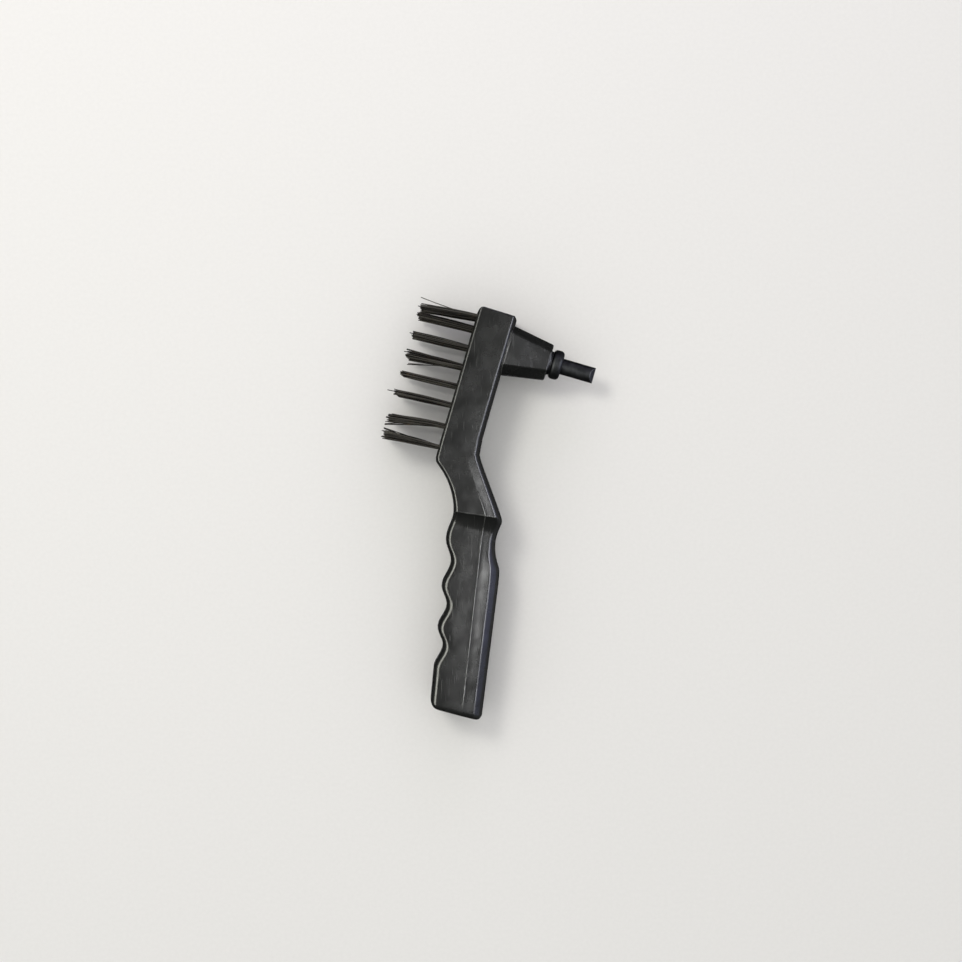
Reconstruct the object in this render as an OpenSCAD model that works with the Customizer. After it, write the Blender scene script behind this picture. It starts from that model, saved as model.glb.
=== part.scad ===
// Chipping hammer with a wire brush on the back of its head, lying on its side.
// +Y runs from the butt of the grip to the head, +X points to the hammer side,
// +Z goes through the depth of the head. The origin is on the resting surface,
// under the middle of the whole tool.

/* [Head] */
// Angle by which the head, its tufts and its pin lean from square, in degrees
head_lean = 16.2; // [14:0.1:18]
// Width of the head, from the brush side to the hammer side
head_w = 16; // [15:0.1:18]
// Depth of the head and neck, across the rows of tufts
head_d = 24; // [22:0.5:28]
// Draft of the moulding on each side of its parting plane, in degrees
draft = 3.5; // [1:0.5:4]

/* [Grip] */
// Depth of the grip
grip_d = 17.6; // [16:0.2:20]
// Lean of the finger side of the grip, in degrees
finger_lean = 5.5; // [4:0.1:7]
// Depth of the hollows between the finger crests
hollow_depth = 2.8; // [1:0.1:4]
// Radius of the hollow behind the guard, on the hammer side
waist_r = 17; // [14:0.5:22]
// Radius of the long curve of the neck, on the brush side
neck_r = 29; // [28:0.5:34]
// Radius on the edges of the butt
butt_r = 2.8; // [1.5:0.1:3.2]

/* [Boss and pin] */
// Length of the boss between the head and the collar
boss_l = 17; // [14:0.2:20]
// Width of the boss where it leaves the head
boss_root_w = 20; // [18:0.2:22]
// Width and depth of the boss at its end
boss_end_w = 14.4; // [13:0.2:16]
// Depth of the boss where it leaves the head
boss_root_d = 21; // [18:0.2:22]
// Diameter of the hammer pin
pin_d = 6.4; // [5:0.1:7]
// Length of the pin that stands out past the collar
pin_out = 13.4; // [10:0.2:20]
// Length of the pin held in the boss
pin_in = 21; // [16:0.5:22]
// Diameter of the collar
collar_d = 11.8; // [10:0.1:13]
// Length of the collar's bead
collar_l = 4.4; // [3:0.1:6]

/* [Brush] */
// Distance between neighbouring rows of tufts
row_pitch = 7; // [6:0.1:8]
// Length of the wires outside the head
wire_out = 22.2; // [18:0.2:26]
// Diameter of a tuft's hole
hole_d = 2; // [1.8:0.1:2.6]
// Depth of a tuft's hole
hole_depth = 9; // [7:0.5:10]
// Diameter of a tuft across its cut ends
tuft_tip_d = 2.6; // [2:0.1:4]

/* [Hidden] */
mid_z = head_d / 2;                 // parting plane of the moulding
head_top = [-4.9, 81.2];            // top corner of the brush side
neck_vertex = [-15, 0.4];           // deepest point of the neck's long curve
neck_edge = [-4.2, 20.4];           // a point of the neck's straight edge
neck_edge_lean = 20.5;
first_crest = [-18, -10.8];
crest_gaps = [18.4, 16.4, 16];      // from each finger crest to the next
waist_vertex = [1.8, -14.8];        // deepest point of the hollow behind the guard
grip_edge = [3.6, -24.4];           // a point of the grip's straight edge
grip_edge_lean = 7.2;
corner_blend = 1.2;                 // how softly two stretches of outline meet
boss_middle = 13.1;                 // boss axis, measured down the head's edge
boss_facet = 3.5;                   // width of the boss's sloping facets
boss_flat = 0.3;                    // share of the boss's depth with upright sides
boss_bevel = 0.6;
boss_root = 4;                      // how far the boss runs into the head
hub_d = 9;                          // collar's hub, in the gap behind the bead
hub_l = 0.9;
bead_r = 1.6;
pin_fit = 0.05;                     // clearance round the pin and the tufts
pin_edge = 2.2;                     // thickness of the chisel edge
pin_bevel_l = 1.7;
groove_d = 5.4;                     // retaining grooves on the buried shank
groove_w = 1.2;
groove_pitch = 4;
staple_l = 2.8;                     // flat staple across each folded tuft
staple_w = 1.6;
staple_t = 0.4;
fold = 0.5;                         // thickness of wire under the staple
tuft_step = 0.25;                   // a leaning tuft leaves its hole this much thinner
first_tuft = 4.1;                   // first station, down from the head's top
tuft_gaps = [4.8, 8, 7.8, 8, 7.8, 8.8, 8.6];
tuft_leans = [6, 2.5, 2.5, 3.5, 2.5, 3.5, 7, 3.5];
stations = len(tuft_leans);
ROWS = ["lower", "middle", "upper"];
arc_steps = 3;                      // facets on a rounded edge
head_l = 62;                        // brush side of the head
tool_l = 165;
eps = 0.01;

plastic = "#2b2c2c";
pin_steel = "#33343a";
wire_steel = "#4a4b50";
staple_steel = "#8d9096";

function unit(v) = v / norm(v);
function mix(a, b, t) = a + (b - a) * t;
function wave(t) = (1 - cos(360 * t)) / 2;
function ease(t) = (1 - cos(180 * t)) / 2;
function soft_max(a, b) = (a + b + norm([a - b, corner_blend])) / 2;
function soft_min(a, b) = -soft_max(-a, -b);
function sum_to(list, n) = n <= 0 ? 0 : list[n - 1] + sum_to(list, n - 1);
function arc_drop(r, d) = r - sqrt(max(0, r * r - d * d));

// Outline at the parting plane: x of each side at height y.
function head_left(y) = head_top[0] - (head_top[1] - y) * tan(head_lean);
function head_right(y) = head_left(y) + head_w / cos(head_lean);
function neck_left(y) = neck_vertex[0] - arc_drop(neck_r, y - neck_vertex[1]);
function neck_right(y) = neck_edge[0] + (neck_edge[1] - y) * tan(neck_edge_lean);
function waist(y) = waist_vertex[0] + arc_drop(waist_r, y - waist_vertex[1]);
function grip_right(y) = grip_edge[0] + (y - grip_edge[1]) * tan(grip_edge_lean);
function crest_y(n) = first_crest[1] - sum_to(crest_gaps, n);
function finger_line(y) = first_crest[0] + (y - first_crest[1]) * tan(finger_lean);
function fingers(y) = finger_line(y) + sum_to([
    for (i = [0:len(crest_gaps) - 1])
        let (t = (crest_y(i) - y) / crest_gaps[i])
        t > 0 && t < 1 ? hollow_depth * wave(t) : 0
], len(crest_gaps));
function below_neck(y) = let (t = (neck_vertex[1] - y) / (neck_vertex[1] - first_crest[1]))
    t > 1 ? fingers(y) : mix(neck_vertex[0], first_crest[0], ease(t));
function left_x(y) = y > neck_vertex[1] ? soft_max(head_left(y), neck_left(y)) : below_neck(y);
function right_x(y) = soft_max(head_right(y),
    soft_min(soft_min(neck_right(y), waist(y)), grip_right(y)));

// Control sections from butt to head: y on the left and on the right, half
// depth, width of the left and the right edge, depth of the edge, and how far
// the right facet falls.
h_grip = grip_d / 2;
h_head = head_d / 2 + 0.04;         // a little over, so that the flat cut is clean
BUTT = [-75, -80.6, h_grip, 2.4, 3.4, 3.6, 0.9];
SHOULDER = [-21.4, -24, h_grip, 2.4, 4.4, 3.8, 0.9];
WAIST = [-11.2, -15, h_grip, 2, 2.2, 3, 0.8];
GUARD_LOW = [-5.2, -10, h_grip, 1.6, 2.4, 3, 0.8];
GUARD_TOP = [0.2, -2.6, h_head, 1.2, 2.8, 1.6, 0.6];
HEAD_LOW = [21.4, 22.4, h_head, 1, 2, 1.2, 0];
HEAD_TOP = [80, 75.4, h_head, 1, 1.6, 1, 0];
RIDGE = 0.62;                       // place of the ridge across the face
CROWN = 0.42;                       // where the face starts to turn
top_r = 1.2;

function side_arc(edge, h, c) = let (start = (h - c) * tan(draft))
    [for (i = [0:arc_steps]) let (a = 90 * i / arc_steps)
        [edge - (edge - start) * cos(a), h - c + c * sin(a)]];

// A ring of points through the ends l and r of one section.
function half_ring(w, h, el, er, c, fall) = let (right = side_arc(er, h - fall, c))
    concat(
        side_arc(el, h, c),
        [[CROWN * w, h], [RIDGE * w, h - 0.2 * fall]],
        [for (i = [arc_steps:-1:0]) [w - right[i][0], right[i][1]]]
    );
function ring(l, r, h, el, er, c, fall) = let (
        w = norm(r - l),
        u = unit(r - l),
        half = half_ring(w, h, el, er, c, fall),
        n = len(half),
        flat = concat([[0, 0]], half, [[w, 0]], [for (i = [n - 1:-1:0]) [half[i][0], -half[i][1]]])
    )
    [for (p = flat) [l[0] + u[0] * p[0], l[1] + u[1] * p[0], p[1]]];
function section(k) =
    ring([left_x(k[0]), k[0]], [right_x(k[1]), k[1]], k[2], k[3], k[4], k[5], k[6]);

// Rounded ends: the section k moved out along its normal and drawn in.
function end_section(k, side, r, a) = let (
        l = [left_x(k[0]), k[0]],
        e = [right_x(k[1]), k[1]],
        u = unit(e - l),
        out = side * [-u[1], u[0]] * r * sin(a),
        pull = r * (1 - cos(a))
    )
    ring(l + out + u * pull, e + out - u * pull, k[2] - pull, k[3], k[4], k[5], k[6]);
function span(a, b, steps) = [for (i = [0:steps - 1]) section(mix(a, b, i / steps))];
function guard_span(a, b, steps) = [for (i = [0:steps - 1])
    let (t = i / steps, k = mix(a, b, t))
    ring([left_x(k[0]), k[0]], [right_x(k[1]), k[1]], mix(a[2], b[2], t * t),
        k[3], k[4], k[5], k[6])];

module loft(rings) {
    n = len(rings[0]);
    m = len(rings);
    points = [for (r = rings) for (p = r) p];
    walls = [for (j = [0:m - 2]) for (i = [0:n - 1])
        let (a = j * n + i, b = j * n + (i + 1) % n)
        each [[a, b + n, b], [a, a + n, b + n]]];
    ends = [[for (i = [0:n - 1]) i], [for (i = [n - 1:-1:0]) (m - 1) * n + i]];
    polyhedron(points, concat(walls, ends));
}

// Places its children at a distance down the brush side, local +X outwards.
module on_brush_side(down, z) {
    at = head_top - down * [sin(head_lean), cos(head_lean)];
    translate([at[0], at[1], z])
        rotate([0, 0, 180 - head_lean])
        children();
}

// Places its children on the hammer side, local +Z along the pin's axis.
module on_pin_axis(out) {
    translate([0, 0, mid_z])
        on_brush_side(boss_middle, 0)
        translate([-head_w - out, 0, 0])
        rotate([0, -90, 0])
        children();
}

// Octagonal slice of the boss: upright sides at the parting plane, then facets.
module boss_slice(w, d, t) {
    side = w / 2;
    face = side - boss_facet;
    top = d / 2;
    flat = top * boss_flat;
    linear_extrude(t)
        polygon([
            [top, face], [flat, side], [-flat, side], [-top, face],
            [-top, -face], [-flat, -side], [flat, -side], [top, -face]
        ]);
}

module boss() {
    rim_w = boss_end_w - 2 * boss_bevel;
    on_pin_axis(0)
        hull() {
            translate([0, 0, -boss_root])
                boss_slice(boss_root_w, boss_root_d, boss_root);
            translate([0, 0, boss_l - boss_bevel])
                boss_slice(boss_end_w, boss_end_w, eps);
            translate([0, 0, boss_l - eps])
                boss_slice(rim_w, rim_w, eps);
        }
}

// Grip, guard, neck and head in one loft; its broad faces are cut truly flat.
module body_shell() {
    intersection() {
        translate([0, 0, mid_z])
            lofted_body();
        translate([-head_l, -tool_l, 0])
            cube([2 * head_l, 2 * tool_l, head_d]);
    }
}

module lofted_body() {
    loft(concat(
        [for (a = [85, 65, 45, 25]) end_section(BUTT, -1, butt_r, a)],
        span(BUTT, SHOULDER, 28),
        span(SHOULDER, WAIST, 6),
        span(WAIST, GUARD_LOW, 4),
        guard_span(GUARD_LOW, GUARD_TOP, 6),
        span(GUARD_TOP, HEAD_LOW, 12),
        span(HEAD_LOW, HEAD_TOP, 2),
        [section(HEAD_TOP)],
        [for (a = [35, 65, 85]) end_section(HEAD_TOP, 1, top_r, a)]
    ));
}

module tuft_axis(s, row) {
    on_brush_side(first_tuft + sum_to(tuft_gaps, s - 1), mid_z + (row - 1) * row_pitch)
        children();
}

module staple_plate() {
    translate([-hole_depth + fold + staple_w / 2, 0, 0])
        cube([staple_w, staple_l, staple_t], center = true);
}

module handle() {
    color(plastic)
        difference() {
            union() {
                body_shell();
                boss();
            }
            on_pin_axis(boss_l - pin_in)
                cylinder(h = pin_in + 1, d = pin_d + 2 * pin_fit, $fn = 64);
            for (s = [1:stations], row = [0:2])
                tuft_axis(s, row) {
                    translate([-hole_depth, 0, 0])
                        rotate([0, 90, 0])
                        cylinder(h = hole_depth + 2, d = hole_d, $fn = 32);
                    staple_plate();
                }
        }
}

// Hardened rod: a grooved shank in the boss and a short chisel edge outside.
module hammer_pin() {
    inner = pin_fit - pin_in;
    tip = hub_l + collar_l + pin_out;
    color(pin_steel)
        on_pin_axis(boss_l)
        difference() {
            translate([0, 0, inner])
                cylinder(h = tip - inner, d = pin_d, $fn = 64);
            for (i = [1:4])
                translate([0, 0, inner + i * groove_pitch])
                    difference() {
                        cylinder(h = groove_w, d = pin_d + 1, $fn = 64);
                        translate([0, 0, -eps])
                            cylinder(h = groove_w + 2 * eps, d = groove_d, $fn = 64);
                    }
            for (side = [0, 180])
                rotate([0, 0, side])
                    translate([pin_edge / 2, -pin_d, tip])
                    rotate([0, -atan((pin_d - pin_edge) / 2 / pin_bevel_l), 0])
                    translate([0, 0, -2 * pin_bevel_l])
                    cube([pin_d, 2 * pin_d, 4 * pin_bevel_l]);
        }
}

// Turned ring against the boss: a narrow hub and a rounded bead.
module pin_collar() {
    color(pin_steel)
        on_pin_axis(boss_l)
        rotate_extrude($fn = 96) {
            difference() {
                union() {
                    square([hub_d / 2, hub_l + collar_l / 2]);
                    translate([0, hub_l])
                        square([collar_d / 2 - bead_r, collar_l]);
                    translate([0, hub_l + bead_r])
                        square([collar_d / 2, collar_l - 2 * bead_r]);
                    for (y = [hub_l + bead_r, hub_l + collar_l - bead_r])
                        translate([collar_d / 2 - bead_r, y])
                            circle(bead_r, $fn = 48);
                }
                translate([-collar_d, -collar_d])
                    square([collar_d + pin_d / 2 + pin_fit, 3 * collar_d]);
            }
        }
}

// One bundle of wires, folded under its staple and opening towards the ends.
module tuft(s, row) {
    d = hole_d - 2 * pin_fit;
    color(wire_steel)
        tuft_axis(s, row)
        difference() {
            union() {
                translate([-hole_depth + pin_fit, 0, 0])
                    rotate([0, 90, 0])
                    cylinder(h = hole_depth, d = d, $fn = 32);
                rotate([0, 0, tuft_leans[s - 1]])
                    translate([-tuft_step, 0, 0])
                    rotate([0, 90, 0])
                    cylinder(h = wire_out + tuft_step, d1 = d - tuft_step, d2 = tuft_tip_d, $fn = 32);
            }
            staple_plate();
        }
}

module staple(s, row) {
    color(staple_steel)
        tuft_axis(s, row)
        staple_plate();
}

handle();
hammer_pin();
pin_collar();
for (s = [1:stations], row = [0:2]) {
    tuft(s, row);
    staple(s, row);
}
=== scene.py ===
import math
from collections import namedtuple

import bmesh
import bpy
import numpy as np
from mathutils import Matrix, Vector


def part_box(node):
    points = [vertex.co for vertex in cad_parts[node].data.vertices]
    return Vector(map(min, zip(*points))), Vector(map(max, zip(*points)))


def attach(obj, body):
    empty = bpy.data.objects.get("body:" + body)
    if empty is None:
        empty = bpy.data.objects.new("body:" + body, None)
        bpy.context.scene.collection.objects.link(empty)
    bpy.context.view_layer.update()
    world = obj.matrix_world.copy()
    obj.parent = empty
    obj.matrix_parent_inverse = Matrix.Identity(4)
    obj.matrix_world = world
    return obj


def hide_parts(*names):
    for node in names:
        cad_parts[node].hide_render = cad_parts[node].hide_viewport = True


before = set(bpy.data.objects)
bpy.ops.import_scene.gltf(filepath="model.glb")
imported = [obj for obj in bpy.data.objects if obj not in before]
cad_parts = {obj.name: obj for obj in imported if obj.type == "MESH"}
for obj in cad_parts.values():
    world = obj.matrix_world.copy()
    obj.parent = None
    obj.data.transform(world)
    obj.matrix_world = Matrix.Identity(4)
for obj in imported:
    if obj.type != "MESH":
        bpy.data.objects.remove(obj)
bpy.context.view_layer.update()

MM = 0.001
SEED = 16
# Metres: nearer than this to the parting plane is on it
ON_PLANE = 1e-6
# Metres: what a cut takes as touching
ON_CUT = 1e-7

handle_low, handle_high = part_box("handle")
head_d = (handle_high.z - handle_low.z) / MM
mid_z = (handle_high.z + handle_low.z) / 2 / MM

# Head and grip: leans are in degrees from the tool's length, and places are
# (x, y) points on the outline
HEAD_LEAN = 16.2
HEAD_W = 16.0
HEAD_TOP = (-4.9, 81.2)
GRIP_D = 17.6
DRAFT = 3.5
FINGER_LEAN = 5.5
HOLLOW_DEPTH = 2.8
FIRST_CREST = (-18.0, -10.8)
CREST_GAPS = (18.4, 16.4, 16.0)
NECK_VERTEX = (-15.0, 0.4)
NECK_R = 29.0
NECK_EDGE = (-4.2, 20.4)
NECK_EDGE_LEAN = 20.5
WAIST_VERTEX = (1.8, -14.8)
WAIST_R = 17.0
GRIP_EDGE = (3.6, -24.4)
GRIP_EDGE_LEAN = 7.2
CORNER_BLEND = 1.2
# Crease between the two facets of the face: a fine raised line
GRIP_CREASE = (-3.8, -11.6)
GRIP_CREASE_LEAN = 6.4
NECK_CREASE = (-2.0, -1.2)
NECK_CREASE_LEAN = 18.7
CREASE_HALF = 0.3
CREASE_LIFT = 0.1
# The crease is placed at this share of a station's slant, and stays between
# these shares of its width
CREASE_AT = 0.6
CREASE_MIN = 0.45
CREASE_MAX = 0.75
# Where the right facet has its middle column, from the crease to the chamfer
FACET_MIDDLE = 0.45
# Columns across the face: share of the right facet's fall, and of the lift
COLUMNS = ((0, 0), (0, 0), (0.13, 0), (0.13, 1), (0.2, 0), (0.5, 0), (1, 0), (1, 0))
# The crease is raised fully where the facet falls this far, and not at all
# where it falls this little
FALL_FOR_LIFT = 0.6
FALL_LOW = 0.2
# Radii of the body's edges: face to chamfer, chamfer to side, and the upright
# corners of the butt and the top
CRISP = 0.6
CHAMFER_FOOT = 1.2
BUTT_CORNER = 3.0
TOP_CORNER = 1.8
# Bevel weights are shares of this radius
WIDEST = 4.0
# Most that a rounding may take of the chamfer beside it, so that no two meet
CRISP_SHARE = 0.3
FOOT_SHARE = 0.6
CORNER_SHARE = 0.7

# Boss, collar and pin: the boss has four broad sides and four facets, and is
# wider and deeper at its root
BOSS_L = 17.0
BOSS_END_W = 14.4
BOSS_ROOT_W = 20.0
BOSS_ROOT_D = 21.0
BOSS_FACET = 3.5
BOSS_FLAT = 0.3
BOSS_ROOT = 4.0  # how far the boss runs on into the head
BOSS_EDGE_R = 0.5
COLLAR_D = 11.8
COLLAR_L = 4.4
BEAD_R = 1.6
HUB_D = 9.0
HUB_L = 0.9
# Lip round the collar's mouth, and the gap round whatever sits in a hole
RIM = 0.25
FIT_GAP = 0.05
PIN_D = 6.4
PIN_IN = 21.0
PIN_OUT = 13.4
PIN_EDGE = 2.2
PIN_EDGE_R = 0.12
PIN_BEVEL_L = 1.7
PIN_BEVEL_SPARE = 0.4
# Radians between faces, past which the pin's end has a real edge
SHARP_ANGLE = 0.35
# How far the bore's cutter passes out through the boss's end
BORE_SPARE = 2.0

# Brush
HOLE_D = 2.0
HOLE_DEPTH = 9.0
WIRE_OUT = 22.2
WIRE_IN = 2.0
WIRE_D = 0.34
WIRES = 26
ROWS = ("lower", "middle", "upper")
# Rings along a wire to bend at, and how far its sheared end slants
WIRE_RINGS = (0.0, 0.15, 0.3, 0.45, 0.6, 0.75, 0.9)
SHEAR = 0.4
# Spread of the wires' tips, bows and lengths, and how far the short ones fall back
TIP_JITTER = 0.26
BOW_JITTER = 0.24
LENGTH_JITTER = 0.45
FALL_BACK = 0.35
STRAY_AIM_JITTER = 0.25
STRAY_LENGTH_JITTER = 0.2
# Wires are set round a hole as seeds are in a sunflower, and bend a little late
SEED_TURN = 137.5
BEND_POWER = 1.15

# Shading: the widest angle between faces that is still smooth
MOULDING_SMOOTH = 32
COLLAR_SMOOTH = 40
PIN_SMOOTH = 35
WIRE_SMOOTH = 62


# ---------------------------------------------------------------- edit tools
def activate(obj):
    """Leaves only this object selected and active."""
    bpy.ops.object.select_all(action="DESELECT")
    obj.select_set(True)
    bpy.context.view_layer.objects.active = obj


def start(name):
    """Names the primitive just added and opens it in edit mode."""
    obj = bpy.context.object
    obj.name = name
    obj.data.name = name
    bpy.ops.object.mode_set(mode="EDIT")
    return obj


def pick(obj, kind, rule):
    """Selects the verts, edges or faces that obey a rule, in edit mode."""
    bpy.ops.mesh.select_mode(type=kind[:-1].upper())
    bpy.ops.mesh.select_all(action="DESELECT")
    shape = bmesh.from_edit_mesh(obj.data)
    for element in getattr(shape, kind):
        element.select_set(bool(rule(element)))
    shape.select_flush_mode()
    bmesh.update_edit_mesh(obj.data)


def middle(edge):
    return (edge.verts[0].co + edge.verts[1].co) / 2


def run_along(edge, axis):
    """True where an edge runs along this axis, to within 37 degrees."""
    return abs((edge.verts[1].co - edge.verts[0].co).normalized().dot(axis)) > 0.8


def apply_modifier(obj, kind, **settings):
    """Adds a modifier with its settings and applies it."""
    activate(obj)
    modifier = obj.modifiers.new(kind.lower(), kind)
    for key, value in settings.items():
        setattr(modifier, key, value)
    bpy.ops.object.modifier_apply(modifier=modifier.name)


def settle(obj):
    """Puts the object's place into its mesh."""
    activate(obj)
    bpy.ops.object.transform_apply(location=True, rotation=True, scale=True)


def smooth(obj, angle):
    """Smooth shading that keeps broad faces flat and edges over the angle sharp."""
    activate(obj)
    bpy.ops.object.shade_smooth_by_angle(angle=math.radians(angle))
    apply_modifier(obj, "WEIGHTED_NORMAL", keep_sharp=True, weight=50)


# ------------------------------------------------------- outline of the body
def soft_max(a, b):
    return (a + b + math.hypot(a - b, CORNER_BLEND)) / 2


def soft_min(a, b):
    return -soft_max(-a, -b)


def arc_drop(r, d):
    return r - math.sqrt(max(0.0, r * r - d * d))


def slope(degrees):
    return math.tan(math.radians(degrees))


def mix(a, b, t):
    return a + (b - a) * t


def head_left(y):
    return HEAD_TOP[0] - (HEAD_TOP[1] - y) * slope(HEAD_LEAN)


def fingers(y):
    """Finger side of the grip: a straight line with a hollow between crests."""
    x = FIRST_CREST[0] + (y - FIRST_CREST[1]) * slope(FINGER_LEAN)
    crest = FIRST_CREST[1]
    for gap in CREST_GAPS:
        t = (crest - y) / gap
        if 0 < t < 1:
            x += HOLLOW_DEPTH * (1 - math.cos(2 * math.pi * t)) / 2
        crest -= gap
    return x


def left_x(y):
    if y > NECK_VERTEX[1]:
        neck = NECK_VERTEX[0] - arc_drop(NECK_R, y - NECK_VERTEX[1])
        return soft_max(head_left(y), neck)
    t = (NECK_VERTEX[1] - y) / (NECK_VERTEX[1] - FIRST_CREST[1])
    if t > 1:
        return fingers(y)
    return mix(NECK_VERTEX[0], FIRST_CREST[0], (1 - math.cos(math.pi * t)) / 2)


def right_x(y):
    head = head_left(y) + HEAD_W / math.cos(math.radians(HEAD_LEAN))
    neck = NECK_EDGE[0] + (NECK_EDGE[1] - y) * slope(NECK_EDGE_LEAN)
    waist = WAIST_VERTEX[0] + arc_drop(WAIST_R, y - WAIST_VERTEX[1])
    grip = GRIP_EDGE[0] + (y - GRIP_EDGE[1]) * slope(GRIP_EDGE_LEAN)
    return soft_max(head, soft_min(soft_min(neck, waist), grip))


def crease_x(y):
    """The crease runs straight down the grip and straight up the neck."""
    if y < GRIP_CREASE[1]:
        return GRIP_CREASE[0] + (y - GRIP_CREASE[1]) * slope(GRIP_CREASE_LEAN)
    if y > NECK_CREASE[1]:
        return NECK_CREASE[0] - (y - NECK_CREASE[1]) * slope(NECK_CREASE_LEAN)
    t = (y - GRIP_CREASE[1]) / (NECK_CREASE[1] - GRIP_CREASE[1])
    return mix(GRIP_CREASE[0], NECK_CREASE[0], t)


def column_shares(left, right, chamfer):
    """Where each column crosses a station, as shares of its width."""
    run = right - left
    crease = (crease_x(left.y + CREASE_AT * run.y) - left.x) / run.x
    crease = min(CREASE_MAX, max(CREASE_MIN, crease))
    half = CREASE_HALF / run.length
    face_edge = 1 - chamfer / run.length
    facet_middle = mix(crease, face_edge, FACET_MIDDLE)
    return (0, 0.5 * crease, crease - half, crease, crease + half, facet_middle, face_edge, 1)


# Stations from the butt to the head: y on the finger side, y on the hammer
# side, half depth, radius of the finger side's edge, width and depth of the
# chamfer on the hammer side, and how far the right facet falls.
Station = namedtuple("Station", "y_left y_right half_d edge_r chamfer_w chamfer_d fall")
BUTT_END = Station(-77.7, -83.3, GRIP_D / 2, 2.2, 2.8, 2.6, 0.75)
BUTT = Station(-73.4, -78.8, GRIP_D / 2, 2.4, 3.0, 2.8, 0.75)
SHOULDER = Station(-21.4, -24.0, GRIP_D / 2, 2.4, 3.3, 3.0, 0.75)
WAIST = Station(-11.2, -15.0, GRIP_D / 2, 2.0, 1.8, 1.8, 0.72)
GUARD_LOW = Station(-5.2, -10.0, GRIP_D / 2, 1.6, 1.7, 1.8, 0.7)
GUARD_TOP = Station(0.2, -2.6, head_d / 2, 1.3, 1.7, 1.6, 0.65)
HEAD_LOW = Station(21.4, 22.4, head_d / 2, 1.1, 1.2, 1.4, 0.15)
HEAD_HIGH = Station(77.4, 73.0, head_d / 2, 0.9, 0.9, 1.1, 0.12)
HEAD_END = Station(81.2, 76.5, head_d / 2, 0.9, 0.9, 1.1, 0.12)


def between(low, high, t):
    """The station this share of the way from one to the other."""
    return Station(*(mix(a, b, t) for a, b in zip(low, high)))


def span(low, high, steps, cove=False):
    """Stations from one to just before the next; a cove rises late."""
    stations = []
    for i in range(steps):
        t = i / steps
        station = between(low, high, t)
        if cove:
            station = station._replace(half_d=mix(low.half_d, high.half_d, t * t))
        stations.append(station)
    return stations


def body_stations():
    return (
        span(BUTT_END, BUTT, 1)
        + span(BUTT, SHOULDER, 30)
        + span(SHOULDER, WAIST, 7)
        + span(WAIST, GUARD_LOW, 4)
        + span(GUARD_LOW, GUARD_TOP, 9, cove=True)
        + span(GUARD_TOP, HEAD_LOW, 14)
        + span(HEAD_LOW, HEAD_HIGH, 8)
        + [HEAD_HIGH, HEAD_END]
    )


def station_ends(station):
    """Where a station meets the finger side and the hammer side."""
    return (
        Vector((left_x(station.y_left), station.y_left, 0)),
        Vector((right_x(station.y_right), station.y_right, 0)),
    )


def edit_vertex(obj, i):
    """Place of a vertex, in edit mode."""
    shape = bmesh.from_edit_mesh(obj.data)
    shape.verts.ensure_lookup_table()
    return shape.verts[i].co


def lay_out_strip(obj, stations, place):
    """Moves each row of the grid to its station and each column to its share."""
    last_column = len(COLUMNS) - 1
    for j, station in enumerate(stations):
        left, right = station_ends(station)
        run = right - left
        row_y = (j / (len(stations) - 1) - 0.5) * MM
        centre = (0, row_y, mid_z * MM)
        shares = column_shares(left, right, station.chamfer_w)
        for i in range(1, last_column):
            pick(obj, "verts", lambda v, k=(j, i): place[v.index] == k)
            shift = shares[i] - i / last_column
            bpy.ops.transform.translate(value=(shift * MM, 0, 0))
        pick(obj, "verts", lambda v, j=j: place[v.index][0] == j)
        bpy.ops.transform.resize(value=(run.length, 1, 1), center_override=centre)
        bpy.ops.transform.rotate(
            value=-math.atan2(run.y, run.x), orient_axis="Z", center_override=centre)
        goal = (left + right) / 2 * MM
        bpy.ops.transform.translate(value=(goal.x, goal.y - row_y, 0))


def raise_strip(obj, place):
    """Raises a copy of the strip by half the depth; gives each raised vertex's place."""
    bpy.ops.mesh.select_all(action="SELECT")
    bpy.ops.mesh.extrude_region_move(
        TRANSFORM_OT_translate={"value": (0, 0, head_d / 2 * MM)})
    shape = bmesh.from_edit_mesh(obj.data)
    shape.verts.ensure_lookup_table()
    below = {
        (round(v.co.x, 7), round(v.co.y, 7)): v.index
        for v in shape.verts if v.co.z < ON_PLANE}
    return {
        v.index: place[below[round(v.co.x, 7), round(v.co.y, 7)]]
        for v in shape.verts if v.co.z > ON_PLANE}


def shape_face(obj, stations, top_place):
    """Draws the raised strip in by the draft, and sinks its facet and chamfer."""
    last_column = len(COLUMNS) - 1
    for j, station in enumerate(stations):
        left, right = station_ends(station)
        drawn_in = 1 - 2 * station.half_d * slope(DRAFT) / (right - left).length
        centre = (left + right) / 2 * MM
        pick(obj, "verts", lambda v, j=j: top_place.get(v.index, (-1, -1))[0] == j)
        bpy.ops.transform.resize(
            value=(drawn_in, drawn_in, 1), center_override=(centre.x, centre.y, mid_z * MM))
        bpy.ops.transform.translate(value=(0, 0, (station.half_d - head_d / 2) * MM))
        risen = max(0, station.fall - FALL_LOW) / (FALL_FOR_LIFT - FALL_LOW)
        # the crease has run out at the butt's end
        lift = CREASE_LIFT * min(1, risen) if j > 0 else 0
        for i, (fall_share, lift_share) in enumerate(COLUMNS):
            pick(obj, "verts", lambda v, k=(j, i): top_place.get(v.index) == k)
            rise = lift_share * lift - fall_share * station.fall
            if i == last_column:
                rise -= station.chamfer_d
            bpy.ops.transform.translate(value=(0, 0, rise * MM))


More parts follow.
